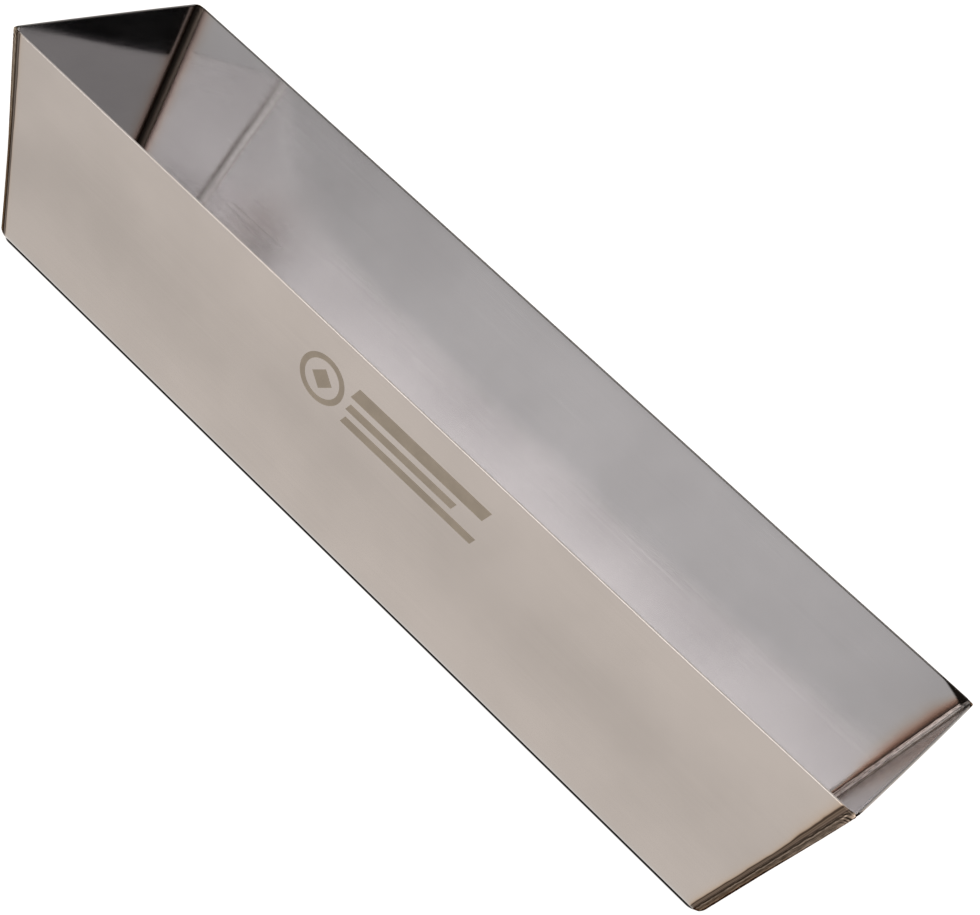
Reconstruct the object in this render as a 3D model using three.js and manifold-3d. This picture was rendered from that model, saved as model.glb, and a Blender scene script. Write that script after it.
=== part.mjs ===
// Stainless-steel mud pan for drywall compound: one folded trough sheet, two end plates and the
// weld runs that join them. A three.js scene graph in millimetres, +X along the pan, +Y across it,
// +Z up, with the origin under the middle of the flat bottom.

import * as THREE from 'three';
import { ConvexGeometry } from 'three/addons/geometries/ConvexGeometry.js';
import { mergeVertices } from 'three/addons/utils/BufferGeometryUtils.js';
import Module from 'manifold-3d';

// Driving dimensions, over the outside faces and between their sharp meeting lines.
const topLength = 406.4;
const topWidth = 108.6;
const bottomLength = 368.7;
const bottomWidth = 65.8;
const height = 87.8;
const sheetThickness = 0.9;
const foldRadius = 5;      // outside radius of the fold between a side wall and the bottom
const weldRadius = 3.4;    // outside radius of the weld metal along an end plate's edge
const jointGap = 0.3;      // clearance between a sheet's cut edge and its weld run

// Fineness of the round stretches.
const foldSteps = 8;
const weldSteps = 6;

// How far the working solids reach past the finished pan before they are trimmed.
const trimMargin = 12;
const cutterSize = 1000;

const sideTilt = Math.atan2((topWidth - bottomWidth) / 2, height);
const endTilt = Math.atan2((topLength - bottomLength) / 2, height);

const stainless = { color: 0xb3a99d, roughness: 0.28, metalness: 1 };
const weldSteel = { color: 0x86725f, roughness: 0.34, metalness: 1 };

const wasm = await Module();
wasm.setup();

function toSolid(geometry) {
  geometry.deleteAttribute('normal');
  geometry.deleteAttribute('uv');
  const merged = mergeVertices(geometry);
  const vertProperties = Float32Array.from(merged.getAttribute('position').array);
  const triVerts = Uint32Array.from(merged.index.array);
  return new wasm.Manifold(new wasm.Mesh({ numProp: 3, vertProperties, triVerts }));
}

function toGeometry(solid) {
  const { vertProperties, triVerts } = solid.getMesh();
  const geometry = new THREE.BufferGeometry();
  geometry.setAttribute('position', new THREE.BufferAttribute(vertProperties, 3));
  geometry.setIndex(new THREE.BufferAttribute(triVerts, 1));
  geometry.computeVertexNormals();
  return geometry;
}

// The outward normal of a trough wall or of the fold below it, in the YZ plane. A share of 0 is
// the near wall (-Y side) and a share of 1 is the bottom.
function foldNormal(share) {
  const angle = THREE.MathUtils.lerp(sideTilt - Math.PI, -Math.PI / 2, share);
  return new THREE.Vector3(0, Math.cos(angle), Math.sin(angle));
}

function endNormal(side) {
  return new THREE.Vector3(side * Math.cos(endTilt), 0, -Math.sin(endTilt));
}

// The near fold's centre line, a fold radius inside both the near wall and the bottom.
function foldCentre() {
  const offset = foldRadius * (1 - Math.sin(sideTilt)) / Math.cos(sideTilt);
  return new THREE.Vector3(0, offset - bottomWidth / 2, foldRadius);
}

// A point of the near half of the trough's section, a given depth inside the outside face.
function sectionPoint(share, depth) {
  return foldCentre().addScaledVector(foldNormal(share), foldRadius - depth);
}

// The top of the near wall's section, past the rim, at a given depth.
function wallTopPoint(depth) {
  const start = sectionPoint(0, depth);
  const rise = height + trimMargin - start.z;
  return start.add(new THREE.Vector3(0, -rise * Math.tan(sideTilt), rise));
}

// The near half of the section at a given depth, from above the rim down to the bottom.
function sectionStations(depth) {
  const stations = [{ point: wallTopPoint(depth), normal: foldNormal(0) }];
  for (let step = 0; step <= foldSteps; step += 1) {
    const share = step / foldSteps;
    stations.push({ point: sectionPoint(share, depth), normal: foldNormal(share) });
  }
  return stations;
}

// Every unit direction between a wall's normal and an end plate's normal, evenly turned.
function turnBetween(from, to, share) {
  const angle = from.angleTo(to);
  const start = from.clone().multiplyScalar(Math.sin((1 - share) * angle));
  return start.addScaledVector(to, Math.sin(share * angle)).divideScalar(Math.sin(angle));
}

// The whole pan as one convex body with rounded end corners. It is the core that lies a weld
// radius inside every outside face, grown outwards by the given radius.
function roundedBody(radius) {
  const points = [];
  for (const end of [-1, 1]) {
    for (const { point, normal } of sectionStations(weldRadius)) {
      const reach = bottomLength / 2 + point.z * Math.tan(endTilt) - weldRadius / Math.cos(endTilt);
      for (let step = 0; step <= weldSteps; step += 1) {
        const direction = turnBetween(normal, endNormal(end), step / weldSteps);
        const near = new THREE.Vector3(end * reach, point.y, point.z).addScaledVector(direction, radius);
        points.push(near, new THREE.Vector3(near.x, -near.y, near.z));
      }
    }
  }
  return toSolid(new ConvexGeometry(points));
}

// A long bar that fills the trough's section up to a given depth from its outside face.
function troughBar(depth) {
  const near = sectionStations(depth).map(({ point }) => new THREE.Vector2(point.y, point.z));
  const far = near.map((point) => new THREE.Vector2(-point.x, point.y)).reverse();
  const geometry = new THREE.ExtrudeGeometry(new THREE.Shape([...near, ...far]), {
    depth: cutterSize,
    bevelEnabled: false,
    steps: 1,
  });
  const axes = new THREE.Matrix4().makeBasis(
    new THREE.Vector3(0, 1, 0),
    new THREE.Vector3(0, 0, 1),
    new THREE.Vector3(1, 0, 0),
  );
  geometry.translate(0, 0, -cutterSize / 2);
  return toSolid(geometry.applyMatrix4(axes));
}

// A block whose one face lies in the plane through a point, and that lies on its normal's side.
function blockBeyond(point, normal) {
  const geometry = new THREE.BoxGeometry(cutterSize, cutterSize, cutterSize);
  geometry.translate(0, 0, cutterSize / 2);
  geometry.applyQuaternion(new THREE.Quaternion().setFromUnitVectors(new THREE.Vector3(0, 0, 1), normal));
  geometry.translate(point.x, point.y, point.z);
  return toSolid(geometry);
}

// Everything nearer an end plate's outside face than the given depth.
function beyondEnd(end, depth) {
  const foot = new THREE.Vector3(end * bottomLength / 2, 0, 0);
  return blockBeyond(foot.addScaledVector(endNormal(end), -depth), endNormal(end));
}

// Everything above the plane that halves a fold's angle, moved up by the given distance.
function aboveFold(side, shift) {
  const across = foldNormal(0.5);
  const upwards = new THREE.Vector3(0, -side * across.z, -across.y);
  const centre = foldCentre();
  const point = new THREE.Vector3(0, -side * centre.y, centre.z).addScaledVector(upwards, shift);
  return blockBeyond(point, upwards);
}

const aboveRim = blockBeyond(new THREE.Vector3(0, 0, height), new THREE.Vector3(0, 0, 1));
const shell = roundedBody(weldRadius).subtract(roundedBody(weldRadius - sheetThickness)).subtract(aboveRim);

const pan = new THREE.Group();

function addPiece(name, solid, finish) {
  const mesh = new THREE.Mesh(toGeometry(solid), new THREE.MeshStandardMaterial(finish));
  mesh.name = name;
  pan.add(mesh);
}

function addTroughSheet() {
  const trimDepth = weldRadius + jointGap;
  const trimmed = shell.subtract(beyondEnd(-1, trimDepth)).subtract(beyondEnd(1, trimDepth));
  addPiece('trough_sheet', trimmed, stainless);
}

function addEnd(endName, end) {
  const endShell = shell.intersect(beyondEnd(end, weldRadius));
  const plate = endShell.intersect(troughBar(weldRadius + jointGap));
  addPiece(`end_plate_${endName}`, plate, stainless);

  const weld = endShell.subtract(troughBar(weldRadius));
  const halfGap = jointGap / 2;
  addPiece(`weld_${endName}_front`, weld.intersect(aboveFold(-1, halfGap)), weldSteel);
  addPiece(`weld_${endName}_back`, weld.intersect(aboveFold(1, halfGap)), weldSteel);
  const bottomRun = weld.subtract(aboveFold(-1, -halfGap)).subtract(aboveFold(1, -halfGap));
  addPiece(`weld_${endName}_bottom`, bottomRun, weldSteel);
}

addTroughSheet();
addEnd('left', -1);
addEnd('right', 1);

export default pan;
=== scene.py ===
"""The looks of the stainless-steel mud pan: folded trough sheet, end plates, weld runs and an etched mark."""

import math

import bpy
import numpy as np
from mathutils import Matrix, Vector, noise


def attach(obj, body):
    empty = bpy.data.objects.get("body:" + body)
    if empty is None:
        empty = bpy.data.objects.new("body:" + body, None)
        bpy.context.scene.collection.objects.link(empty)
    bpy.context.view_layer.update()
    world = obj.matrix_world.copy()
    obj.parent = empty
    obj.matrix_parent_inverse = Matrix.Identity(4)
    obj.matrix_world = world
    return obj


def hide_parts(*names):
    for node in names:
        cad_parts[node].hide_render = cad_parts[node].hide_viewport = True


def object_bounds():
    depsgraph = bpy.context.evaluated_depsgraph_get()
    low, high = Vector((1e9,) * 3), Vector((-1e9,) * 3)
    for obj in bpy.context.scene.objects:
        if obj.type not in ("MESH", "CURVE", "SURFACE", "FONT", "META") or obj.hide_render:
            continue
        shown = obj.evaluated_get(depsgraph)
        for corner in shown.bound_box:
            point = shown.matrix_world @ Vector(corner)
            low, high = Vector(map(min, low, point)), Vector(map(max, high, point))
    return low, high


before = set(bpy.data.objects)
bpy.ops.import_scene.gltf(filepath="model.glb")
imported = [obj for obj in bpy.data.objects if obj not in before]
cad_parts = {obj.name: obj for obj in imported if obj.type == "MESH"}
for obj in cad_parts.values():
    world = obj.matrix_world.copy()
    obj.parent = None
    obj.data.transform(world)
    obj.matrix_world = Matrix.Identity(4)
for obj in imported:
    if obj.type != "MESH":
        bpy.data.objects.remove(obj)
CAD_LOW, CAD_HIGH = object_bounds()

MM = 0.001

# The pan, over its outside faces, in metres. The rim comes from the model's bounds.
TOP_HALF_LENGTH = CAD_HIGH[0]
TOP_HALF_WIDTH = CAD_HIGH[1]
HEIGHT = CAD_HIGH[2]
BOTTOM_HALF_LENGTH = 368.7 * MM / 2
BOTTOM_HALF_WIDTH = 65.8 * MM / 2
THICKNESS = 0.9 * MM
FOLD_RADIUS = 5 * MM
WELD_RADIUS = 3.4 * MM
RIM_ROUND = 0.16 * MM

SIDE_TILT = math.atan2(TOP_HALF_WIDTH - BOTTOM_HALF_WIDTH, HEIGHT)
END_TILT = math.atan2(TOP_HALF_LENGTH - BOTTOM_HALF_LENGTH, HEIGHT)

# How the welding has drawn the sheet out of true.
WALL_BOW = 0.4 * MM        # the rim's corners stand this far inside its middle
END_BOW = 0.7              # the end plates' rims bow by this share of it
RIM_LIFT = 0.6 * MM        # the right end's rim stands this far above the rest
LIFT_SPAN = 95 * MM
WAVE_HEIGHT = 0.03 * MM    # slow waves left in the sheet by rolling and welding
UNDERCUT = 0.05 * MM       # the groove beside the weld metal
UNDERCUT_SPAN = 1.2 * MM
DISH_FAR = 0.40 * MM       # the left end plate is dished inwards, less towards the back wall
DISH_NEAR = 0.55 * MM
DISH_SPAN = 9 * MM

# The core lies a weld radius inside every outside face. Every face of the pan is the core
# plus a depth along a direction between a wall's normal and an end plate's normal.
CORE_FOLD = FOLD_RADIUS - WELD_RADIUS
FOLD_CENTRE_Y = BOTTOM_HALF_WIDTH - FOLD_RADIUS * (1 - math.sin(SIDE_TILT)) / math.cos(SIDE_TILT)
WALL_FOOT_Z = FOLD_RADIUS - CORE_FOLD * math.sin(SIDE_TILT)


def core_half_width(z):
    """Half the core's width at a height up the walls."""
    outside_z = z - WELD_RADIUS * math.sin(SIDE_TILT)
    return BOTTOM_HALF_WIDTH + outside_z * math.tan(SIDE_TILT) - WELD_RADIUS * math.cos(SIDE_TILT)


def core_reach(z):
    """How far from the pan's middle the core ends, at a height."""
    return BOTTOM_HALF_LENGTH + z * math.tan(END_TILT) - WELD_RADIUS / math.cos(END_TILT)


def end_normal(end):
    """The outward normal of an end plate: end is -1 at the left and 1 at the right."""
    return np.array([end * math.cos(END_TILT), 0.0, -math.sin(END_TILT)])


def turn(start, finish, share):
    """The unit direction a share of the way from one unit direction to another."""
    angle = math.acos(float(np.clip(np.dot(start, finish), -1, 1)))
    return (math.sin((1 - share) * angle) * start + math.sin(share * angle) * finish) / math.sin(angle)


class Station:
    """One place on the path round the trough's section, as a core point and its outward normal.

    Travel is the way along the outside face from the wall's foot: up the wall, or down into the fold.
    """

    def __init__(self, y, z, normal, travel):
        self.y = y
        self.z = z
        self.normal = normal
        self.travel = travel


def wall_station(side, z):
    """A station on a wall: side is -1 for the front wall and 1 for the back wall."""
    normal = np.array([0.0, side * math.cos(SIDE_TILT), -math.sin(SIDE_TILT)])
    travel = (z - WALL_FOOT_Z) / math.cos(SIDE_TILT)
    return Station(side * core_half_width(z), z, normal, travel)


def fold_station(side, share):
    """A station in a fold, from the wall's foot at 0 to the bottom's edge at 1."""
    angle = SIDE_TILT + share * (math.pi / 2 - SIDE_TILT)
    normal = np.array([0.0, side * math.cos(angle), -math.sin(angle)])
    y = side * (FOLD_CENTRE_Y + CORE_FOLD * math.cos(angle))
    travel = -FOLD_RADIUS * (angle - SIDE_TILT)
    return Station(y, FOLD_RADIUS - CORE_FOLD * math.sin(angle), normal, travel)


def bottom_station(y):
    """A station on the flat bottom."""
    travel = -FOLD_RADIUS * (math.pi / 2 - SIDE_TILT) - (FOLD_CENTRE_Y - abs(y))
    return Station(y, WELD_RADIUS, np.array([0.0, 0.0, -1.0]), travel)


def smoothstep(value):
    """Eases from 0 to 1 as the value goes from 0 to 1."""
    value = np.clip(value, 0, 1)
    return value * value * (3 - 2 * value)


def warp(points):
    """Draws true points out of true, the same way for every piece, so that the pieces still meet."""
    x, y, z = points[:, 0], points[:, 1], points[:, 2]
    share = z / HEIGHT
    along = x / TOP_HALF_LENGTH
    across = y / TOP_HALF_WIDTH
    lift = smoothstep((x - TOP_HALF_LENGTH + LIFT_SPAN) / LIFT_SPAN)
    # Two crossed patterns of slow waves, in radians per metre.
    waves = (
        np.sin(x * 47 + z * 31 + 0.6) * np.sin(z * 58 + x * 11 + 1.7)
        + 0.6 * np.sin(x * 95 - z * 40 + 2.1 + 3 * across) * np.sin(z * 83 + 0.4)
    )
    calm = np.clip((1 - along**2) * 4, 0, 1) * share * (1 - share) * 4
    from_plate = x + BOTTOM_HALF_LENGTH + z * math.tan(END_TILT)
    dish = DISH_FAR + (DISH_NEAR - DISH_FAR) * np.clip((1 - across) / 2, 0, 1)
    dish = dish * 4 * share * (1 - share) * (1 - smoothstep((from_plate - WELD_RADIUS) / DISH_SPAN))
    warped = points.copy()
    warped[:, 0] += dish
    warped[:, 0] -= WALL_BOW * END_BOW * along * across**2 * share
    warped[:, 1] -= (WALL_BOW * along**2 * share + WAVE_HEIGHT * (1 + waves) * calm) * across
    warped[:, 2] -= RIM_LIFT * share**2 * (1 - lift)
    return warped


# -------- mesh helpers

SHARP_ANGLE = math.radians(50)


def enclosed_volume(points, faces):
    """The signed volume inside a closed set of four-sided faces."""
    corners = points[np.array(faces)]
    total = 0.0
    for second in (1, 2):
        crossed = np.cross(corners[:, second], corners[:, second + 1])
        total += np.einsum("ij,ij->", corners[:, 0], crossed) / 6
    return total


def new_object(name, points, faces, ring_length, layers):
    """A closed piece on the pan's body. In each ring of points the second half is the pan's inside."""
    if enclosed_volume(points, faces) < 0:
        faces = [tuple(reversed(face)) for face in faces]
    mesh = bpy.data.meshes.new(name)
    mesh.from_pydata([tuple(point) for point in warp(points)], [], faces)
    for layer, values in layers.items():
        attribute = mesh.attributes.new(layer, "FLOAT", "POINT")
        attribute.data.foreach_set("value", np.asarray(values, dtype=np.float32))
    for polygon in mesh.polygons:
        polygon.use_smooth = True
        is_inside = all(index % ring_length >= ring_length // 2 for index in polygon.vertices)
        polygon.material_index = int(is_inside)
    mesh.set_sharp_from_angle(angle=SHARP_ANGLE)
    mesh.update()
    piece = bpy.data.objects.new(name, mesh)
    bpy.context.scene.collection.objects.link(piece)
    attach(piece, "root")
    return piece


def loft(rings):
    """Quads between closed rings of equal length, with both ends capped by strips across each ring."""
    count = len(rings[0])
    points = np.concatenate([np.asarray(ring) for ring in rings])
    faces = []
    for row in range(len(rings) - 1):
        low = row * count
        for column in range(count):
            after = (column + 1) % count
            faces.append((low + column, low + after, low + count + after, low + count + column))
    last = (len(rings) - 1) * count
    for column in range(count // 2 - 1):
        mirror = count - 1 - column
        faces.append((mirror, mirror - 1, column + 1, column))
        faces.append((last + column, last + column + 1, last + mirror - 1, last + mirror))
    return points, faces


RIM_STEPS = 4


def rim_outline():
    """(height above the rim's edge line, depth from the outside face) round a rim, outside to inside."""
    outline = []
    for step in range(RIM_STEPS + 1):
        angle = math.pi / 2 * step / RIM_STEPS
        outline.append((RIM_ROUND * (math.sin(angle) - 1), RIM_ROUND * (1 - math.cos(angle))))
    inside = [(height, THICKNESS - depth) for height, depth in reversed(outline)]
    return outline + inside


def top_core_z(direction, radius=WELD_RADIUS):
    """The core height from which the outside face, that radius away in that direction, meets the rim."""
    return HEIGHT + (THICKNESS - radius) * direction[2]


def undercut(distance):
    """How deep the groove beside the weld metal is, at a distance from it."""
    return UNDERCUT * math.exp(-(distance / UNDERCUT_SPAN) ** 2)


# -------- marks on the steel, and painted shade and reflections

RIM_DULL_AND_SHADE_SPAN = 0.42 * MM    # the sheared edge is dull, and darkened with painted shade, down to here on its inside
DARK_WEDGE_RUN = 20 * MM           # a painted dark reflection under the rim at the back right corner: how far along, and how deep
DARK_WEDGE_DEPTH = 3.6 * MM
SCORCH_LIMIT = 30 * MM       # past here the sheet keeps its own colour


def wander(x, y, z, scale, seed):
    """Smooth noise between -1 and 1 at a point in metres, for a feature size in metres."""
    return noise.noise(Vector((x / scale + seed * 17.3, y / scale - seed * 5.1, z / scale + seed * 9.7)))


def outside_reach(x, share):
    """How far the sheet has coloured from the weld metal outside, in mm, at a share of the height."""
    if x > 0:
        return 1.15 + 0.9 * float(smoothstep((share - 0.55) / 0.4))
    return 0.8 + 0.6 * share**3


def inside_reach(x, y, share, is_wall):
    """The same inside the pan."""
    if y < 0:
        return 0.08
    if not is_wall:
        return 0.7 if x < 0 else 0.3
    if x < 0:
        return 3.0
    spread = smoothstep((share - 0.35) / 0.35)
    tighten = smoothstep((share - 0.85) / 0.15)
    return float(0.4 + 3.0 * spread - 1.6 * tighten)


def inside_strength(x, share, is_wall):
    """How hot the sheet's very edge was inside, as a share of the hottest."""
    if x < 0:
        return 0.86
    return 1.0 if is_wall else 0.68 - 0.56 * float(smoothstep((share - 0.2) / 0.5))


def scorch_at(point, distance, within, is_wall):
    """Weld heat, from 0 on clean sheet to 1 at the weld metal."""
    if distance > SCORCH_LIMIT:
        return 0.0
    x, y, z = point
    share = z / HEIGHT
    reach = inside_reach(x, y, share, is_wall) if within else outside_reach(x, share)
    uneven = 0.22 * wander(x, y, z, 21 * MM, 1) + 0.12 * wander(x, y, z, 6 * MM, 2)
    strength = inside_strength(x, share, is_wall) if within else 1.0
    return strength * math.exp(-distance / (reach * MM * (1 + uneven)))


def dark_reflection_at(point, within, distance):
    """Painted dark reflection, from 0 to 1: a wedge under the rim in the back right corner."""
    x, y, z = point
    if x < 0 or y < 0 or not within:
        return 0.0
    left = max(0.0, 1 - distance / DARK_WEDGE_RUN)
    wedge = DARK_WEDGE_DEPTH * left**2.2 + 0.12 * MM * wander(x, y, z, 5 * MM, 7)
    return float(smoothstep((wedge - (HEIGHT - z)) / (0.6 * MM))) * float(smoothstep(left * 8))


def rim_shade_and_dullness(place, within):
    """How dark and dull the sheared edge is; the darkness is painted shade. The front wall's outer half is
    the brightest.
    """
    if place == "front":
        return 0.5 if within else 0.0
    return {"back": 1.0, "left": 1.0, "right": 0.85}[place]


# -------- trough sheet and end plates

WALL_STEPS = 24
FOLD_STEPS = 12
BOTTOM_STEPS = 14
TROUGH_GRADING = (0.0022, 24, 44)    # from the weld metal inwards: the fine step, how many, and coarse ones
PLATE_GRADING = (0.012, 16, 16)
FOLD_REFLECTION_REACH = 4 * MM             # the fold's painted bluish reflection is centred this far past the wall's foot
FRONT_UNDERCUT = 0.2                 # the share of the undercut that the front wall's inside has
RIM_DROPS = [drop * MM for drop in (0.4, 0.6, 0.85, 1.15, 1.5, 1.9, 2.35, 2.85, 3.4, 4.0, 5.0, 6.4)]


def body_stations(side, normal):
    """Down one wall from just under its rim to the fold's start."""
    top = top_core_z(normal)
    near_rim = [top - drop for drop in RIM_DROPS]
    rest = np.linspace(near_rim[-1], WALL_FOOT_Z, WALL_STEPS + 1)[1:-1]
    return [wall_station(side, z) for z in near_rim + list(rest)]


def rim_stations(side, normal, tilt):
    """(station, depth) round the rim, outside to inside."""
    top = top_core_z(normal)
    return [(wall_station(side, top + up * math.cos(tilt)), depth) for up, depth in rim_outline()]


def trough_path():
    """(station, depth) round the trough: outside from the near rim to the far rim, then back inside."""
    near_normal = wall_station(-1, 0).normal
    far_normal = wall_station(1, 0).normal
    near = body_stations(-1, near_normal)
    near += [fold_station(-1, step / FOLD_STEPS) for step in range(FOLD_STEPS + 1)]
    bottom_shares = [2 * step / BOTTOM_STEPS - 1 for step in range(1, BOTTOM_STEPS)]
    bottom = [bottom_station(FOLD_CENTRE_Y * share) for share in bottom_shares]
    far = [fold_station(1, 1 - step / FOLD_STEPS) for step in range(FOLD_STEPS + 1)]
    far += reversed(body_stations(1, far_normal))
    body = near + bottom + far
    near_rim = rim_stations(-1, near_normal, SIDE_TILT)
    far_rim = rim_stations(1, far_normal, SIDE_TILT)
    half = len(near_rim) // 2
    outside = list(reversed(near_rim[:half])) + [(station, 0.0) for station in body] + far_rim[:half]
    inside = far_rim[half:] + [(station, THICKNESS) for station in reversed(body)]
    inside += reversed(near_rim[half:])
    return outside + inside


def plate_path(normal):
    """(station, depth) down an end plate's outside from its rim, and back up its inside."""
    body = body_stations(1, normal) + [fold_station(1, step / FOLD_STEPS) for step in range(FOLD_STEPS + 1)]
    rim = rim_stations(1, normal, END_TILT)
    half = len(rim) // 2
    outside = list(reversed(rim[:half])) + [(station, 0.0) for station in body]
    inside = [(station, THICKNESS) for station in reversed(body)] + list(reversed(rim[half:]))
    return outside + inside


def graded_shares(fine_step, fine_count, coarse_count):
    """Shares from -1 to 1, closer together towards both ends."""
    fine = [1 - fine_step * step for step in range(fine_count)]
    half = fine + list(np.linspace(1 - fine_step * fine_count, 0, coarse_count))
    return [-share for share in half] + list(reversed(half[:-1]))


def make_sheet(name, path, shares, foot_of, distance_of, normal_of, node, place_of):
    """One sheet, lofted from its path through the places that its shares give."""
    rings = []
    layers = {"scorch": [], "rim": [], "painted_dark": [], "fold": []}
    is_wall = node == "trough_sheet"
    for share in shares:
        ring = []
        for index, (station, depth) in enumerate(path):
            within = index >= len(path) // 2
            distance = distance_of(station, share)
            sink = -undercut(distance) if within else undercut(distance)
            if within and station.y < 0:
                sink = FRONT_UNDERCUT * sink
            normal = normal_of(station)
            point = foot_of(station, share) + normal * (WELD_RADIUS - depth - sink)
            ring.append(point)
            drop = top_core_z(normal) - station.z
            on_rim = drop < (RIM_DULL_AND_SHADE_SPAN if within else 1.1 * RIM_ROUND)
            layers["scorch"].append(scorch_at(point, distance, within, is_wall))
            # the rim mark: painted shade that darkens the cut edge, which is also made rougher
            layers["rim"].append(rim_shade_and_dullness(place_of(station), within) if on_rim else 0.0)
            # painted dark reflection in the back right corner
            layers["painted_dark"].append(dark_reflection_at(point, within, distance) if is_wall else 0.0)
            # the fold mark: a painted bluish reflection along the bend
            from_fold = abs(station.travel + FOLD_REFLECTION_REACH) / FOLD_REFLECTION_REACH
            layers["fold"].append(float(smoothstep(1.3 - from_fold)))
        rings.append(ring)
    points, faces = loft(rings)
    piece = new_object(name, points, faces, len(path), layers)
    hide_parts(node)
    return piece


def make_trough():
    """The front wall, bottom and back wall, in one folded sheet."""

    def foot_of(station, share):
        return np.array([share * core_reach(station.z), station.y, station.z])

    def distance_of(station, share):
        return core_reach(station.z) * (1 - abs(share))

    def normal_of(station):
        return station.normal

    def place_of(station):
        return "front" if station.y < 0 else "back"

    node = "trough_sheet"
    shares = graded_shares(*TROUGH_GRADING)
    return make_sheet(f"{node}_skin", trough_path(), shares, foot_of, distance_of, normal_of, node, place_of)


def make_end_plate(name, end):
    """One end plate, between the two walls."""
    normal = end_normal(end)

    def foot_of(station, share):
        return np.array([end * core_reach(station.z), share * abs(station.y), station.z])

    def distance_of(station, share):
        return min(abs(station.y) * (1 - abs(share)), station.z - WELD_RADIUS)

    def normal_of(_):
        return normal

    def place_of(_):
        return name

    node = f"end_plate_{name}"
    shares = graded_shares(*PLATE_GRADING)
    path = plate_path(normal)
    return make_sheet(f"{node}_skin", path, shares, foot_of, distance_of, normal_of, node, place_of)


# -------- weld runs

BEAD_COLUMNS = 20
BEAD_ROW = 0.35 * MM
HALF_FOLD_STEPS = 16         # rows in the half of a fold that a run covers
BEAD_SHARES = [column / BEAD_COLUMNS for column in range(BEAD_COLUMNS + 1)]
RIPPLE_PITCH = 0.95 * MM
CRATER_SPAN = 9 * MM         # the ripples open into deeper curves this far under a rim
LANE_TURNS = 24.0            # how closely the lanes lie
INNER_RELIEF = 0.3           # the run is smoother inside the pan
NOTCH_DEPTH = 1.3 * MM       # the front right run stops this far short at its outer tip
TIP_DIP = 0.15 * MM          # the other runs dip this far between their edges

# The exponent of the corner's rounding at the rim, by run and end. A higher one is squarer.
TRUE_ARC = 2.0
RIM_SHARPNESS = {("front", -1): 4.0, ("front", 1): 8.0, ("back", -1): 5.0, ("back", 1): 12.0}


def bead_sharpness(run, end, z):
    """The exponent of the corner's rounding, which grows from a true arc towards the rim."""
    top = RIM_SHARPNESS.get((run, end), TRUE_ARC)
    return TRUE_ARC + (top - TRUE_ARC) * float(smoothstep((z / HEIGHT - 0.4) / 0.6))


def bead_phase(share, travel, top_travel):
    """Where a place lies in the run of ripples, in ripples. They are curved, and more so under the rim."""
    near_rim = float(smoothstep(1 - (top_travel - travel) / CRATER_SPAN))
    curve = (0.9 + 3.2 * near_rim) * MM
    return (travel + curve * (2 * share - 1) ** 2) / RIPPLE_PITCH


def bead_lane(share, travel, top_travel):
    """Which lane of the run a place lies in, and how near the rim it is.

    The lanes close into hairpins under the rim.
    """
    near_rim = float(smoothstep(1 - (top_travel - travel) / CRATER_SPAN))
    return math.hypot(2 * share - 1, 1.1 * near_rim), near_rim


def bead_relief(share, travel, top_travel, seed):
    """How far the weld metal stands above the true rounding."""
    window = math.sin(math.pi * share)
    drift = 0.5 + 0.06 * wander(travel, seed * MM, 0, 14 * MM, seed)
    crown = 0.10 * math.exp(-(((share - drift) / 0.17) ** 2))
    ridges = 0.06 * math.exp(-(((share - drift + 0.28) / 0.07) ** 2))
    ridges += 0.06 * math.exp(-(((share - drift - 0.28) / 0.07) ** 2))
    lane, near_rim = bead_lane(share, travel, top_travel)
    unsteady = 2 * wander(travel, 0, seed * MM, 5 * MM, seed + 3)
    ripple = 0.018 * (1 - near_rim) * math.sin(2 * math.pi * bead_phase(share, travel, top_travel) + unsteady)
    ripple += 0.06 * near_rim * math.sin(LANE_TURNS * lane)
    rough = 0.03 * wander(travel, share * 3 * MM, seed * MM, 2.4 * MM, seed + 5)
    calm = float(smoothstep((top_travel - travel) / (1.2 * MM)))
    return MM * calm * (window**2 * (crown + ridges + ripple * window + rough) - 0.05)


def corner_radius(wall_normal, plate_normal, direction, sharpness):
    """The distance from the core to the corner's face, squarer for a higher sharpness."""
    first = max(float(np.dot(direction, wall_normal)), 0.0)
    second = max(float(np.dot(direction, plate_normal)), 0.0)
    return WELD_RADIUS * (first**sharpness + second**sharpness) ** (-1 / sharpness)


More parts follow.
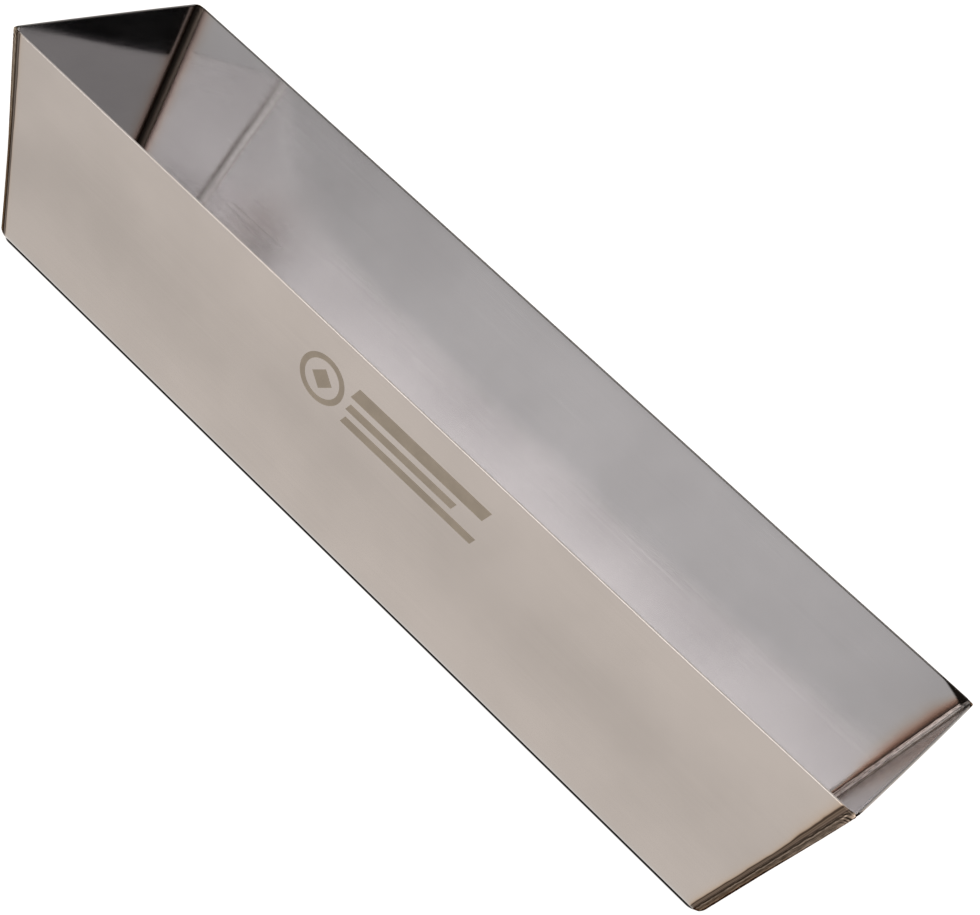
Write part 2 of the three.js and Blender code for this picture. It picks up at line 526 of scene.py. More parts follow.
class BeadBuilder:
    """Collects the rings of one weld run, with the marks for its points."""

    def __init__(self, end, run, seed):
        self.end = end
        self.run = run
        self.seed = seed
        self.smoothness = INNER_RELIEF if run == "back" and end > 0 else INNER_RELIEF / 4
        self.plate_normal = end_normal(end)
        self.rings = []
        self.layers = {"rim": [], "painted_dark": [], "across": [], "ripple": [], "lane": [], "curl": []}
        wall_normal = wall_station(1, 0).normal
        self.top_travel = wall_station(1, top_core_z(wall_normal)).travel if run != "bottom" else 1.0

    def point(self, station, direction, distance):
        """The point that far from a station's core point."""
        return np.array([self.end * core_reach(station.z), station.y, station.z]) + direction * distance

    def add_ring(self, flat, pick=None, inset=0.0):
        """A ring round the run at a station.

        pick(direction, outer radius, share) gives the outside and the inside station, where they differ.
        """
        outer = []
        inner = []
        sharpness = bead_sharpness(self.run, self.end, flat.z)
        for share in BEAD_SHARES:
            direction = turn(flat.normal, self.plate_normal, share)
            radius = corner_radius(flat.normal, self.plate_normal, direction, sharpness)
            out_station, in_station = pick(direction, radius, share) if pick else (flat, flat)
            relief = bead_relief(share, out_station.travel, self.top_travel, self.seed)
            relief_in = bead_relief(share, in_station.travel, self.top_travel, self.seed + 11)
            relief_in *= self.smoothness
            outer.append((self.point(out_station, direction, radius + relief - inset), share, out_station))
            core_depth = WELD_RADIUS - THICKNESS - relief_in + inset
            inner.append((self.point(in_station, direction, core_depth), share, in_station))
        ring = outer + list(reversed(inner))
        for index, (point, share, station) in enumerate(ring):
            within = index >= len(outer)
            self.mark(point, share, station, within)
        self.rings.append([point for point, _, _ in ring])

    def mark(self, point, share, station, within):
        """Keeps the marks for one point: the rim's painted shade and dullness, painted black in the back
        right corner and in the notched tip, and its place in the run's pattern.
        """
        drop = HEIGHT - point[2]
        # painted black: inside, the dark reflection in the back right corner; outside, painted shade in the
        # front right run's notched tip
        if within:
            painted_dark = dark_reflection_at(point, within, 0.0) * float(smoothstep((0.34 - share) / 0.16))
        elif self.run == "front" and self.end > 0:
            painted_dark = float(smoothstep((2.2 * MM - drop) / (0.8 * MM)) * smoothstep((share - 0.45) / 0.15))
        else:
            painted_dark = 0.0
        # the rim's cut edge gets painted shade, and dullness
        dull = rim_shade_and_dullness("right" if self.end > 0 else "left", within)
        lane, near_rim = bead_lane(share, station.travel, self.top_travel)
        across = share * self.narrowing(station.z) if within else share
        self.layers["rim"].append(dull if drop < (RIM_DULL_AND_SHADE_SPAN if within else RIM_ROUND) else 0.0)
        self.layers["painted_dark"].append(painted_dark)
        self.layers["across"].append(across)
        self.layers["ripple"].append(bead_phase(share, station.travel, self.top_travel))
        self.layers["lane"].append(lane)
        self.layers["curl"].append(near_rim)

    def narrowing(self, z):
        """The share of the colour profile that the run shows inside. The back right one narrows upwards."""
        if self.run != "back" or self.end < 0:
            return 1.0
        return 0.45 + 0.55 * float(smoothstep((z / HEIGHT - 0.2) / 0.8))

    def notch(self, share):
        """How far the run stops short of the rim."""
        if self.run == "front" and self.end > 0:
            return NOTCH_DEPTH * float(smoothstep((share - 0.5) / 0.2) * smoothstep((1.0 - share) / 0.12))
        return TIP_DIP * math.sin(math.pi * share)


def bottom_run(builder):
    """The rings along the bottom, from the middle of one fold to the middle of the other."""
    half_folds = [0.5 * step / HALF_FOLD_STEPS for step in range(HALF_FOLD_STEPS + 1)]
    count = int(2 * FOLD_CENTRE_Y / BEAD_ROW)
    stations = [fold_station(-1, 0.5 + share) for share in half_folds]
    stations += [bottom_station(FOLD_CENTRE_Y * (2 * step / count - 1)) for step in range(1, count)]
    stations += [fold_station(1, 1 - share) for share in half_folds]
    for station in stations:
        builder.add_ring(station)


def corner_run(builder, side):
    """The rings up one corner, from the middle of the fold to the rim."""
    for step in range(HALF_FOLD_STEPS + 1):
        builder.add_ring(fold_station(side, 0.5 * (1 - step / HALF_FOLD_STEPS)))

    def add_upper_ring(part, up, inset=0.0):
        def pick(direction, radius, share):
            out_top = top_core_z(direction, radius) - RIM_ROUND - builder.notch(share)
            in_top = top_core_z(direction) - RIM_ROUND - builder.notch(share)
            out_z = WALL_FOOT_Z + part * (out_top - WALL_FOOT_Z) + up
            in_z = WALL_FOOT_Z + part * (in_top - WALL_FOOT_Z) + up
            return wall_station(side, out_z), wall_station(side, in_z)

        builder.add_ring(wall_station(side, WALL_FOOT_Z + part * (HEIGHT - WALL_FOOT_Z)), pick, inset)

    count = int((HEIGHT - WALL_FOOT_Z) / BEAD_ROW)
    for step in range(1, count + 1):
        add_upper_ring(step / count, 0.0)
    for up, depth in rim_outline()[1 : RIM_STEPS + 1]:
        add_upper_ring(1.0, RIM_ROUND + up, depth)


def make_weld(name, end, run, seed):
    """One weld run at one end of the pan: front, bottom or back."""
    builder = BeadBuilder(end, run, seed)
    if run == "bottom":
        bottom_run(builder)
    else:
        corner_run(builder, -1 if run == "front" else 1)
    points, faces = loft(builder.rings)
    node = f"weld_{name}_{run}"
    piece = new_object(f"{node}_bead", points, faces, 2 * len(BEAD_SHARES), builder.layers)
    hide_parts(node)
    return piece


# -------- etched mark

MARK_PLACE = (3.0 * MM, 68.0 * MM)    # its middle: along the pan, and up the front wall from the floor
MARK_PROUD = 0.015 * MM
MARK_SUNK = 0.10 * MM
MARK_GRID = 1.5 * MM
MARK_CENTRE = -34 * MM                # the ring's and the diamond's middle, along from the mark's place
MARK_RING = (8.0 * MM, 10.4 * MM)     # inner and outer radius
MARK_RING_STEPS = 72
MARK_DIAMOND = 4.9 * MM               # half a side
MARK_DIAMOND_STEPS = 8
MARK_LEAN = 0.35

# The bars, in mm from the mark's place: left, right, low, high.
MARK_BARS = [
    (-21, 43, 3.4, 9.4),
    (-21, 31, -3.0, 0.6),
    (-21, 43, -9.4, -5.8),
]


def wall_point(along, up, proud):
    """A point on the front wall's outside face, before warping."""
    normal = wall_station(-1, 0).normal
    z = up * math.cos(SIDE_TILT)
    y = -(BOTTOM_HALF_WIDTH + z * math.tan(SIDE_TILT))
    return np.array([along, y, z]) + normal * proud


def bar_patch(left, right, low, high, lean):
    """A grid of (along, up) places in a bar whose ends lean."""
    columns = max(2, int((right - left) / MARK_GRID))
    rows = max(1, int((high - low) / MARK_GRID))
    grid = []
    for row in range(rows + 1):
        up = low + (high - low) * row / rows
        start = left + lean * (up - low)
        grid.append([(start + (right - left) * column / columns, up) for column in range(columns + 1)])
    return grid


def ring_patch(centre, inner, outer, steps):
    """A grid of (along, up) places in a ring."""
    grid = []
    for radius in (inner, (inner + outer) / 2, outer):
        angles = [2 * math.pi * step / steps for step in range(steps + 1)]
        grid.append([(centre + radius * math.cos(angle), radius * math.sin(angle)) for angle in angles])
    return grid


def diamond_patch(centre, half, steps):
    """A grid of (along, up) places in a square standing on its corner."""
    places = [half * (2 * step / steps - 1) / 2 for step in range(steps + 1)]
    return [[(centre + first - second, first + second) for first in places] for second in places]


def make_etched_mark():
    """A plain emblem, etched dull: a ring round a diamond, and three bars with slanted ends."""
    patches = [
        ring_patch(MARK_CENTRE, *MARK_RING, MARK_RING_STEPS),
        diamond_patch(MARK_CENTRE, MARK_DIAMOND, MARK_DIAMOND_STEPS),
    ]
    for left, right, low, high in MARK_BARS:
        patches.append(bar_patch(left * MM, right * MM, low * MM, high * MM, MARK_LEAN))
    points = []
    faces = []
    for grid in patches:
        first = len(points)
        rows = len(grid)
        columns = len(grid[0])
        for proud in (MARK_PROUD, -MARK_SUNK):
            for line in grid:
                points += [wall_point(MARK_PLACE[0] + u, MARK_PLACE[1] + v, proud) for u, v in line]
        back = rows * columns
        for row in range(rows - 1):
            for column in range(columns - 1):
                corner = first + row * columns + column
                top = (corner, corner + 1, corner + columns + 1, corner + columns)
                faces.append(top)
                faces.append(tuple(index + back for index in reversed(top)))
        edge = [(0, column) for column in range(columns)]
        edge += [(row, columns - 1) for row in range(1, rows)]
        edge += [(rows - 1, column) for column in range(columns - 2, -1, -1)]
        edge += [(row, 0) for row in range(rows - 2, 0, -1)]
        loop = [first + row * columns + column for row, column in edge]
        for here, after in zip(loop, loop[1:] + loop[:1]):
            faces.append((after, here, here + back, after + back))
    points = np.array(points)
    return new_object("etched_mark", points, faces, len(points) * 2, {})


# -------- materials


class Graph:
    """A short way to build a node tree."""

    def __init__(self, owner):
        owner.use_nodes = True
        self.tree = owner.node_tree
        self.tree.nodes.clear()

    def add(self, kind, **settings):
        node = self.tree.nodes.new(kind)
        for name, value in settings.items():
            setattr(node, name, value)
        return node

    def link(self, source, target):
        self.tree.links.new(source, target)

    def feed(self, node, index, value):
        """Sets an input to a number or colour, or links it to another node's output."""
        if isinstance(value, bpy.types.NodeSocket):
            self.link(value, node.inputs[index])
        else:
            node.inputs[index].default_value = value

    def math(self, operation, *values, clamp=False):
        node = self.add("ShaderNodeMath", operation=operation, use_clamp=clamp)
        for index, value in enumerate(values):
            self.feed(node, index, value)
        return node.outputs[0]

    def vector(self, operation, *values):
        node = self.add("ShaderNodeVectorMath", operation=operation)
        for index, value in enumerate(values):
            self.feed(node, index, value)
        return node.outputs["Value" if operation in ("LENGTH", "DOT_PRODUCT") else "Vector"]

    def scaled(self, colour, factor):
        node = self.add("ShaderNodeVectorMath", operation="SCALE")
        self.link(colour, node.inputs[0])
        self.feed(node, "Scale", factor)
        return node.outputs[0]

    def bump(self, height, strength, distance):
        node = self.add("ShaderNodeBump")
        node.inputs["Strength"].default_value = strength
        node.inputs["Distance"].default_value = distance
        self.link(height, node.inputs["Height"])
        return node.outputs[0]

    def metal(self, colour, roughness, normal):
        shader = self.add("ShaderNodeBsdfPrincipled")
        shader.inputs["Metallic"].default_value = 1.0
        self.link(colour, shader.inputs["Base Color"])
        self.link(roughness, shader.inputs["Roughness"])
        self.link(normal, shader.inputs["Normal"])
        return shader

    def ramp_value(self, value, low, high, to_low, to_high, smooth=True):
        node = self.add("ShaderNodeMapRange", interpolation_type="SMOOTHSTEP" if smooth else "LINEAR")
        for index, item in enumerate((value, low, high, to_low, to_high)):
            self.feed(node, index, item)
        return node.outputs[0]

    def colours(self, value, stops):
        """A colour ramp given as (position, (red, green, blue)) stops."""
        node = self.add("ShaderNodeValToRGB")
        elements = node.color_ramp.elements
        while len(elements) < len(stops):
            elements.new(0.5)
        for element, (position, colour) in zip(elements, stops):
            element.position = position
            element.color = (*colour, 1)
        self.link(value, node.inputs[0])
        return node.outputs[0]

    def blend(self, kind, factor, first, second):
        node = self.add("ShaderNodeMix", data_type="RGBA", blend_type=kind)
        self.feed(node, 0, factor)
        self.feed(node, 6, first)
        self.feed(node, 7, second)
        return node.outputs[2]

    def noise(self, place, scale, detail=2.0):
        node = self.add("ShaderNodeTexNoise")
        self.link(place, node.inputs["Vector"])
        node.inputs["Scale"].default_value = scale
        node.inputs["Detail"].default_value = detail
        return node.outputs["Fac"]

    def finish(self, shader, kind="ShaderNodeOutputMaterial"):
        self.link(shader.outputs[0], self.add(kind).inputs["Surface"])


# Heat colours of stainless steel as multipliers, from the clean sheet to the weld's edge.
OUTSIDE_SCORCH = [
    (0.0, (1, 1, 1)),
    (0.06, (1, 0.985, 0.965)),
    (0.15, (0.985, 0.93, 0.87)),
    (0.24, (0.93, 0.83, 0.72)),
    (0.30, (0.70, 0.57, 0.46)),
    (0.35, (0.13, 0.095, 0.07)),
    (0.45, (0.12, 0.088, 0.066)),
    (0.51, (0.37, 0.30, 0.235)),
    (0.62, (0.20, 0.155, 0.12)),
    (0.74, (0.36, 0.29, 0.235)),
    (0.88, (0.16, 0.12, 0.10)),
    (1.0, (0.08, 0.06, 0.05)),
]
INSIDE_SCORCH = [
    (0.0, (1, 1, 1)),
    (0.08, (1, 0.99, 0.97)),
    (0.22, (0.96, 0.88, 0.80)),
    (0.40, (0.88, 0.65, 0.53)),
    (0.56, (0.65, 0.42, 0.32)),
    (0.72, (0.37, 0.22, 0.16)),
    (0.86, (0.17, 0.115, 0.09)),
    (1.0, (0.06, 0.045, 0.04)),
]

# Across the weld metal, from the wall's edge to the end plate's edge. In the outside runs and the back right
# run inside, the light and dark lines among the oxide browns are painted highlights and painted shade on the
# run's ridges.
OUTER_BEAD_RIGHT = [
    (0.0, (0.24, 0.20, 0.165)),
    (0.05, (0.08, 0.065, 0.053)),
    (0.12, (0.10, 0.082, 0.068)),
    (0.17, (0.50, 0.44, 0.38)),
    (0.24, (0.19, 0.158, 0.13)),
    (0.36, (0.25, 0.212, 0.178)),
    (0.46, (0.46, 0.40, 0.345)),
    (0.54, (0.22, 0.185, 0.155)),
    (0.66, (0.16, 0.133, 0.112)),
    (0.80, (0.07, 0.058, 0.048)),
    (1.0, (0.035, 0.029, 0.025)),
]
OUTER_BEAD_LEFT = [
    (0.0, (0.10, 0.085, 0.072)),
    (0.10, (0.12, 0.102, 0.086)),
    (0.19, (0.50, 0.455, 0.39)),
    (0.45, (0.46, 0.42, 0.36)),
    (0.68, (0.36, 0.325, 0.28)),
    (0.80, (0.12, 0.102, 0.086)),
    (1.0, (0.05, 0.043, 0.037)),
]
INNER_BEAD_RIGHT = [
    (0.0, (0.055, 0.04, 0.033)),
    (0.022, (0.075, 0.05, 0.04)),
    (0.05, (0.42, 0.34, 0.30)),
    (0.14, (0.50, 0.415, 0.38)),
    (0.20, (0.64, 0.545, 0.505)),
    (0.28, (0.72, 0.63, 0.59)),
    (0.34, (0.62, 0.53, 0.49)),
    (0.37, (0.20, 0.15, 0.13)),
    (0.40, (0.55, 0.475, 0.43)),
    (0.46, (0.84, 0.79, 0.74)),
    (0.62, (0.56, 0.50, 0.45)),
    (1.0, (0.38, 0.335, 0.29)),
]
INNER_BEAD_LEFT = [
    (0.0, (0.085, 0.066, 0.055)),
    (0.22, (0.07, 0.054, 0.045)),
    (0.42, (0.045, 0.035, 0.029)),
    (0.60, (0.026, 0.021, 0.017)),
    (1.0, (0.02, 0.016, 0.013)),
]
INNER_BEAD_PLAIN = [
    (0.0, (0.96, 0.94, 0.91)),
    (0.25, (1.0, 0.98, 0.96)),
    (0.75, (1.0, 0.98, 0.96)),
    (1.0, (0.96, 0.94, 0.91)),
]

GRAIN_ALONG = 16       # grain features per metre along the rolling direction
GRAIN_ACROSS = 1500    # and across it
SCUFF_ALONG = 14       # the same for the scuffs, which run their own way
SCUFF_ACROSS = 1900
SCUFF_TURN = (0.5, 0.35, 0.7)
STREAKS_ACROSS = 13.0  # oxide streaks across a weld run
STREAKS_ALONG = 0.22   # and along it, per ripple

# Where the sheet's finish and its painted shade change along the pan: the first place has the full effect,
# the second none.
# the outside darkens towards the left end along here: painted shade
SHADE_RUN = (-210 * MM, -50 * MM)
TINT_RUN = (-210 * MM, 0.0)
FINISH_RUN = (-150 * MM, -115 * MM)
SCOUR_RUN = (-30 * MM, 0.0)    # across the pan, from the front wall to the middle
LEFT_TINT = 0.6                # heat colours are this much paler at the left end
# the rim's cut edge is multiplied by this colour: painted shade
EDGE_SHADE = (0.15, 0.14, 0.13)
# the colour of the painted dark reflection and the notch's painted shade
PAINTED_BLACK = (0.014, 0.011, 0.009)
# the fold's colour is multiplied by this: a painted lighter, bluish reflection
FOLD_REFLECTION_TINT = (0.99, 1.02, 1.045)
ETCH_TINT = (0.62, 0.58, 0.50)


def mark_value(graph, name):
    """A mark that the mesh's points carry."""
    return graph.add("ShaderNodeAttribute", attribute_name=name).outputs["Fac"]


def steel_material(
    name, base, roughness, grain_axis, scorch_colours, left_shade=1.0, left_gloss=0.0, front_scour=0.0
):
    """Rolled stainless sheet: grain, faint blotches and scuffs, weld heat, a painted dark reflection in the
    back right corner, painted shade on dull cut edges, a painted bluish reflection along the folds, and
    painted shade towards the left end.
    """
    material = bpy.data.materials.new(name)
    graph = Graph(material)
    place = graph.add("ShaderNodeTexCoord").outputs["Object"]
    stretch = (GRAIN_ALONG, GRAIN_ACROSS, GRAIN_ACROSS)
    if grain_axis == "Y":
        stretch = (GRAIN_ACROSS, GRAIN_ALONG, GRAIN_ACROSS)
    grain = graph.noise(graph.vector("MULTIPLY", place, stretch), 1.0, 3.0)
    blotch = graph.noise(place, 26.0, 3.0)
    smear = graph.noise(place, 90.0, 2.0)
    turned = graph.add("ShaderNodeMapping")
    turned.inputs["Rotation"].default_value = SCUFF_TURN
    turned.inputs["Scale"].default_value = (SCUFF_ALONG, SCUFF_ACROSS, SCUFF_ACROSS)
    graph.link(place, turned.inputs["Vector"])
    scuff = graph.ramp_value(graph.noise(turned.outputs[0], 1.0, 1.0), 0.70, 0.78, 0.0, 1.0)

    shade = graph.math("ADD", graph.ramp_value(grain, 0.25, 0.75, -0.015, 0.015, False), 1.0)
    shade = graph.math("ADD", shade, graph.ramp_value(blotch, 0.3, 0.7, -0.03, 0.03))
    shade = graph.math("ADD", shade, graph.math("MULTIPLY", scuff, 0.02))
    split = graph.add("ShaderNodeSeparateXYZ")
    graph.link(place, split.inputs[0])
    along, across = split.outputs[0], split.outputs[1]
    # painted shade: darker towards the left end
    shade = graph.math("MULTIPLY", shade, graph.ramp_value(along, *SHADE_RUN, left_shade, 1.0))
    uneven = graph.math("MULTIPLY", graph.math("SUBTRACT", smear, 0.5), 0.12)
    scorch = mark_value(graph, "scorch")
    scorched = graph.ramp_value(scorch, 0.05, 0.3, 0.0, 1.0)
    scorch = graph.math("ADD", scorch, graph.math("MULTIPLY", uneven, scorched), clamp=True)
    tint = graph.add("ShaderNodeHueSaturation")
    graph.link(graph.colours(scorch, scorch_colours), tint.inputs["Color"])
    graph.link(graph.ramp_value(along, *TINT_RUN, LEFT_TINT, 1.0), tint.inputs["Saturation"])
    colour = graph.blend("MULTIPLY", 1.0, (*base, 1), tint.outputs[0])
    # painted reflection along the folds
    colour = graph.blend("MULTIPLY", mark_value(graph, "fold"), colour, (*FOLD_REFLECTION_TINT, 1))
    # painted shade along the rim's cut edge
    colour = graph.blend("MULTIPLY", mark_value(graph, "rim"), colour, (*EDGE_SHADE, 1))
    # painted dark reflection in the back right corner
    colour = graph.blend("MIX", mark_value(graph, "painted_dark"), colour, (*PAINTED_BLACK, 1))
    colour = graph.scaled(colour, shade)

    gloss = graph.ramp_value(along, *FINISH_RUN, left_gloss, 0.0)
    scour = graph.ramp_value(along, *FINISH_RUN, front_scour, 0.0)
    scour = graph.math("MULTIPLY", scour, graph.ramp_value(across, *SCOUR_RUN, 1.0, 0.0))
    worn = graph.math("SUBTRACT", scour, gloss)
    rough = graph.math("ADD", roughness, graph.ramp_value(blotch, 0.3, 0.7, -0.015, 0.02))
    rough = graph.math("ADD", rough, worn)
    rough = graph.math("ADD", rough, graph.ramp_value(grain, 0.3, 0.7, -0.015, 0.02))
    rough = graph.math("ADD", rough, graph.math("MULTIPLY", scuff, 0.04))
    rough = graph.math("ADD", rough, graph.math("MULTIPLY", mark_value(graph, "rim"), 0.2))
    rough = graph.math("ADD", rough, graph.ramp_value(scorch, 0.3, 0.9, 0.0, 0.16))
    height = graph.math("ADD", graph.math("MULTIPLY", grain, 0.6), graph.math("MULTIPLY", scuff, -0.2))
    shader = graph.metal(colour, rough, graph.bump(height, 0.045, 0.02 * MM))
    graph.finish(shader)
    return material


def bead_material(name, base, roughness, profile, contrast, rim_dimming, edge_tint):
    """Weld metal: oxide streaks and ripples; under the rim, hairpin lanes of painted highlight and painted
    shade, with painted shade where rim_dimming is positive and a painted highlight where it is negative.
    """
    material = bpy.data.materials.new(name)
    graph = Graph(material)
    place = graph.add("ShaderNodeTexCoord").outputs["Object"]
    across = mark_value(graph, "across")
    ripple = mark_value(graph, "ripple")
    lane = graph.add("ShaderNodeCombineXYZ")
    graph.link(graph.math("MULTIPLY", across, STREAKS_ACROSS), lane.inputs[0])
    graph.link(graph.math("MULTIPLY", ripple, STREAKS_ALONG), lane.inputs[1])
    streak = graph.noise(lane.outputs[0], 1.0, 3.0)
    wobble = graph.math("SUBTRACT", graph.noise(place, 260.0, 2.0), 0.5)
    wobble = graph.math("MULTIPLY", wobble, 0.16 * contrast)
    tint = graph.colours(graph.math("ADD", across, wobble, clamp=True), profile)
    wave = graph.math("SINE", graph.math("MULTIPLY", ripple, 2 * math.pi))
    # painted highlight and shade lines along the hairpin lanes under the rim
    hairpin = graph.math("SINE", graph.math("MULTIPLY", mark_value(graph, "lane"), LANE_TURNS))
    hairpin = graph.math("MULTIPLY", hairpin, mark_value(graph, "curl"))
    hairpin = graph.math("MULTIPLY", hairpin, contrast)
    wavy = graph.math("MULTIPLY", wave, 0.08 * contrast)
    streaky = graph.ramp_value(streak, 0.3, 0.7, -0.42 * contrast, 0.42 * contrast)
    shade = graph.math("ADD", graph.math("ADD", wavy, streaky), graph.math("ADD", hairpin, 1.0))
    shade = graph.math("MAXIMUM", shade, 0.08)
    # under the rim: painted shade where rim_dimming is positive, painted highlight where it is negative
    dimmed = graph.math("SUBTRACT", 1.0, graph.math("MULTIPLY", mark_value(graph, "curl"), rim_dimming))
    shade = graph.math("MULTIPLY", shade, dimmed)
    colour = graph.blend("MULTIPLY", 1.0, (*base, 1), tint)
    # painted shade along the rim's cut edge
    colour = graph.blend("MULTIPLY", mark_value(graph, "rim"), colour, (*EDGE_SHADE, 1))
    # painted black: the back right corner's dark reflection, and shade in the front right run's notch
    colour = graph.blend("MIX", mark_value(graph, "painted_dark"), colour, (*PAINTED_BLACK, 1))
    colour = graph.scaled(colour, shade)
    grit = graph.noise(place, 2600.0, 3.0)
    rough = graph.math("ADD", roughness, graph.ramp_value(streak, 0.3, 0.7, -0.05, 0.07))
    height = graph.math("ADD", graph.math("MULTIPLY", wave, 0.25), graph.math("ADD", grit, streak))
    shader = graph.metal(colour, rough, graph.bump(height, 0.35 * contrast, 0.04 * MM))
    shader.inputs["Specular Tint"].default_value = (*edge_tint, 1)
    graph.finish(shader)
    return material


def mark_material(base):
    """The etched mark's dull, slightly browned surface."""
    material = bpy.data.materials.new("etched_steel")
    graph = Graph(material)
    place = graph.add("ShaderNodeTexCoord").outputs["Object"]
    frost = graph.noise(place, 3200.0, 3.0)
    blotch = graph.noise(place, 120.0, 2.0)
    shade = graph.math("ADD", 1.0, graph.ramp_value(frost, 0.3, 0.7, -0.06, 0.06))
    shade = graph.math("ADD", shade, graph.ramp_value(blotch, 0.3, 0.7, -0.05, 0.05))
    colour = graph.scaled(graph.blend("MULTIPLY", 1.0, (*base, 1), (*ETCH_TINT, 1)), shade)
    rough = graph.ramp_value(frost, 0.3, 0.7, 0.38, 0.5)
    shader = graph.metal(colour, rough, graph.bump(frost, 0.2, 0.02 * MM))
    graph.finish(shader)
    return material


# -------- camera, floor, light

CAMERA_PLACE = Vector((224.8, -661.1, 474.2)) * MM
CAMERA_AZIMUTH = math.radians(17.18)
CAMERA_ELEVATION = math.radians(31.0)
CAMERA_ROLL = math.radians(34.1)
CAMERA_LENS = 82.28


def make_camera():
    """The camera at the photograph's viewing angle."""
    data = bpy.data.cameras.new("camera")
    data.lens = CAMERA_LENS
    data.sensor_width = 36
    data.clip_start = 0.01
    camera = bpy.data.objects.new("camera", data)
    turn_up = Matrix.Rotation(math.pi / 2 - CAMERA_ELEVATION, 4, "X")
    turn_round = Matrix.Rotation(CAMERA_AZIMUTH, 4, "Z")
    roll = Matrix.Rotation(CAMERA_ROLL, 4, "Z")
    camera.matrix_world = Matrix.Translation(CAMERA_PLACE) @ turn_round @ turn_up @ roll
    bpy.context.scene.collection.objects.link(camera)
    bpy.context.scene.camera = camera


FLOOR_GLOW = (1.0, 0.975, 0.955)
FLOOR_HALF_SIZE = 6.0
SHADE_INSET = 1.5 * MM     # the floor is dark, a painted shadow, up to this far inside the pan's foot
SHADE_CORNER = 4 * MM      # the radius of the shade's corners
SHADE_SPAN = 0.7 * MM      # it reaches its full glow over this width
FAR_GLOW = 1.13
DIP = 0.10                 # it glows this much less in a band round the foot: a painted shade band
DIP_PLACE = 36 * MM
DIP_SPAN = 30 * MM


def make_floor():
    """A pale light table: it glows evenly, except for a painted shade band round the pan's foot and a painted
    shadow under it.
    """
    size = FLOOR_HALF_SIZE
    mesh = bpy.data.meshes.new("floor")
    corners = [(-size, -size, 0), (size, -size, 0), (size, size, 0), (-size, size, 0)]
    mesh.from_pydata(corners, [], [(0, 1, 2, 3)])
    floor = bpy.data.objects.new("floor", mesh)
    bpy.context.scene.collection.objects.link(floor)
    material = bpy.data.materials.new("floor_paper")
    graph = Graph(material)
    place = graph.add("ShaderNodeTexCoord").outputs["Object"]
    flat = graph.vector("MULTIPLY", graph.vector("ABSOLUTE", place), (1, 1, 0))
    inset = SHADE_INSET + SHADE_CORNER
    foot = (BOTTOM_HALF_LENGTH - inset, BOTTOM_HALF_WIDTH - inset, 0)
    outside = graph.vector("MAXIMUM", graph.vector("SUBTRACT", flat, foot), (0, 0, 0))
    distance = graph.math("SUBTRACT", graph.vector("LENGTH", outside), SHADE_CORNER)
    glow = graph.ramp_value(distance, 0.0, SHADE_SPAN, 0.0, 1.0)
    from_dip = graph.math("ABSOLUTE", graph.math("SUBTRACT", distance, DIP_PLACE))
    dip = graph.ramp_value(from_dip, 0.0, DIP_SPAN, 1.0, 0.0)
    far_glow = graph.math("SUBTRACT", FAR_GLOW, graph.math("MULTIPLY", dip, DIP))
    shader = graph.add("ShaderNodeBsdfPrincipled")
    shader.inputs["Base Color"].default_value = (0.02, 0.02, 0.02, 1)
    shader.inputs["Roughness"].default_value = 0.9
    shader.inputs["Specular IOR Level"].default_value = 0.0
    shader.inputs["Emission Color"].default_value = (*FLOOR_GLOW, 1)
    graph.link(graph.math("MULTIPLY", glow, far_glow), shader.inputs["Emission Strength"])
    graph.finish(shader)
    mesh.materials.append(material)


def direction_to(azimuth, elevation):
    """The unit vector towards a place in the studio. Azimuth 0 is behind the pan and 90 to its right."""
    azimuth = math.radians(azimuth)
    elevation = math.radians(elevation)
    flat = math.cos(elevation)
    return (math.sin(azimuth) * flat, math.cos(azimuth) * flat, math.sin(elevation))


# Brightness of the studio by the sine of the height, from the horizon to overhead.
SKY = [
    (0.0, 0.05),
    (0.1, 0.5),
    (0.17, 1.1),
    (0.3, 1.2),
    (0.37, 1.12),
    (0.42, 1.1),
    (0.48, 1.2),
    (0.55, 1.3),
    (1.0, 1.4),
]

# Softboxes: place, full and outer radius in degrees, brightness.
SOFTBOXES = [
    (direction_to(194, 30), 16.5, 25, 4.0),
    (direction_to(23.5, 25.5), 3, 12, 3.95),
    (direction_to(148, 57), 8, 17, 5.4),
    (direction_to(-13, 21.5), 2, 12.5, 0.47),
    (direction_to(14.5, 34), 2, 9, 0.85),
]

# Black flags: place, full and outer radius in degrees.
FLAG_DEPTH = 0.995
FLAGS = [
    (direction_to(118, -2), 27.5, 31),
    (direction_to(-15, -17), 30, 37),
]


def nearness(graph, place, centre, full, end):
    """1 within the full angle of a direction, falling to 0 at the end angle."""
    closeness = graph.vector("DOT_PRODUCT", place, centre)
    return graph.ramp_value(closeness, math.cos(math.radians(end)), math.cos(math.radians(full)), 0.0, 1.0)


def make_light():
    """The studio, as a world: a soft sky with softboxes and flags."""
    world = bpy.data.worlds.new("studio")
    bpy.context.scene.world = world
    graph = Graph(world)
    place = graph.vector("NORMALIZE", graph.add("ShaderNodeTexCoord").outputs["Generated"])
    height = graph.add("ShaderNodeSeparateXYZ")
    graph.link(place, height.inputs[0])
    brightest = SKY[-1][1]
    sky = graph.colours(height.outputs["Z"], [(sine, (value / brightest,) * 3) for sine, value in SKY])
    glow = graph.scaled(sky, brightest)
    for centre, full, end, strength in SOFTBOXES:
        box = graph.math("MULTIPLY", nearness(graph, place, centre, full, end), strength)
        glow = graph.vector("ADD", glow, box)
    for centre, full, end in FLAGS:
        flag = graph.math("MULTIPLY", nearness(graph, place, centre, full, end), FLAG_DEPTH)
        glow = graph.scaled(glow, graph.math("SUBTRACT", 1.0, flag))
    background = graph.add("ShaderNodeBackground")
    graph.link(glow, background.inputs["Color"])
    graph.finish(background, "ShaderNodeOutputWorld")


bpy.context.scene.view_settings.view_transform = "Standard"

make_camera()
make_floor()
make_light()
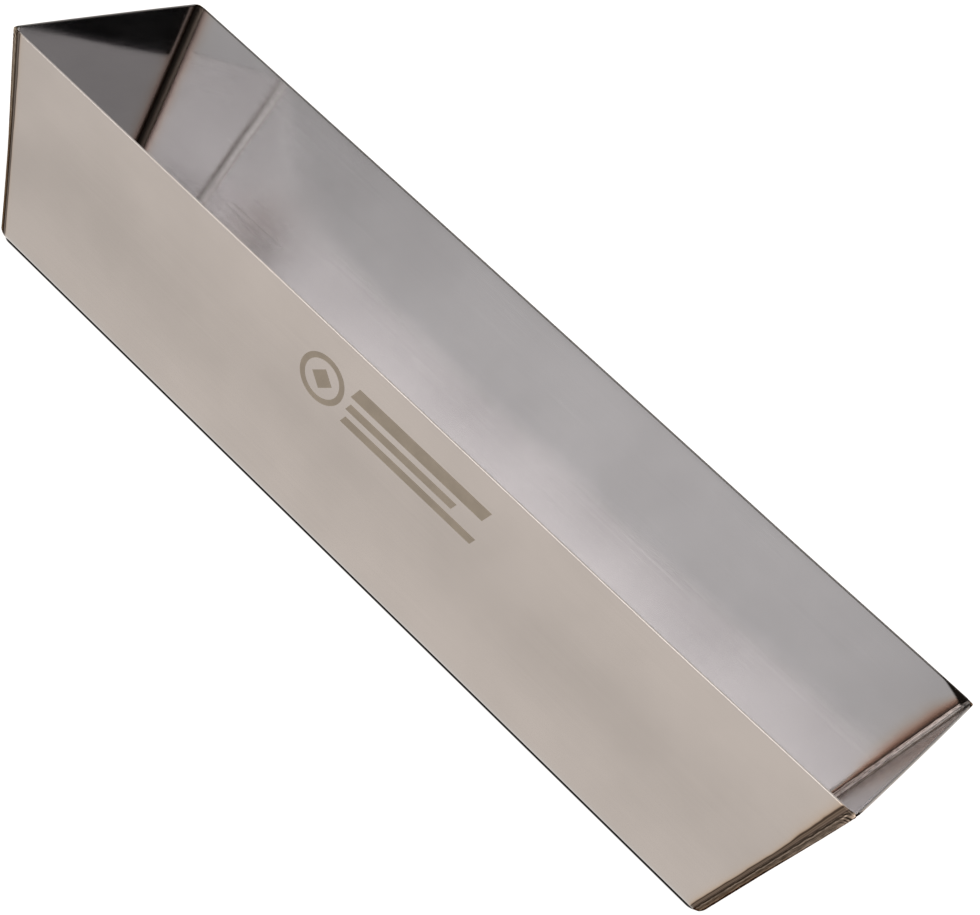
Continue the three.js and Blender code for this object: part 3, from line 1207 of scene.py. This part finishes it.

# One steel in lit and shaded copies: the outside's darker, warmer colour and the inside's lighter, cooler one
# paint in how light falls on each side.
OUTSIDE_STEEL = (0.420, 0.380, 0.350)
INSIDE_STEEL = (0.505, 0.492, 0.493)
PLAIN_BEAD_STEEL = (0.615, 0.6, 0.6)    # weld beads inside that were brushed clean, in a still lighter copy of the steel: painted light
WELD_METAL = (0.90, 0.90, 0.90)

BLACKENED = (0.25, 0.20, 0.17)
CLEAN = (1.0, 1.0, 1.0)

trough_out = steel_material(
    "stainless_outside", OUTSIDE_STEEL, 0.09, "X", OUTSIDE_SCORCH, left_shade=0.92
)
trough_in = steel_material(
    "stainless_inside", INSIDE_STEEL, 0.085, "X", INSIDE_SCORCH, left_gloss=0.016, front_scour=0.18
)
plate_out = steel_material("plate_outside", OUTSIDE_STEEL, 0.09, "Y", OUTSIDE_SCORCH)
plate_in = {
    "left": steel_material("plate_inside_left", INSIDE_STEEL, 0.035, "Y", INSIDE_SCORCH),
    "right": steel_material("plate_inside_right", INSIDE_STEEL, 0.2, "Y", INSIDE_SCORCH),
}
bead_plain = bead_material("weld_inside", PLAIN_BEAD_STEEL, 0.38, INNER_BEAD_PLAIN, 0.4, 0.0, CLEAN)
bead_out = {
    "left": bead_material("weld_left", OUTSIDE_STEEL, 0.26, OUTER_BEAD_LEFT, 0.7, 0.0, BLACKENED),
    "right": bead_material("weld_right", OUTSIDE_STEEL, 0.24, OUTER_BEAD_RIGHT, 1.0, -0.35, BLACKENED),
}
bead_in = {
    "left": bead_material("weld_inside_left", WELD_METAL, 0.42, INNER_BEAD_LEFT, 0.3, 0.0, BLACKENED),
    "right": bead_material("weld_inside_right", WELD_METAL, 0.28, INNER_BEAD_RIGHT, 0.5, 0.55, CLEAN),
}


def give_materials(piece, *materials):
    """The first material is for the outside, the second for the inside."""
    for material in materials:
        piece.data.materials.append(material)


give_materials(make_trough(), trough_out, trough_in)
seed = 0
for end_name, end in (("left", -1), ("right", 1)):
    give_materials(make_end_plate(end_name, end), plate_out, plate_in[end_name])
    for run in ("front", "bottom", "back"):
        seed += 1
        inner = bead_in[end_name] if run == "back" else bead_plain
        give_materials(make_weld(end_name, end, run, seed), bead_out[end_name], inner)
give_materials(make_etched_mark(), mark_material(OUTSIDE_STEEL))
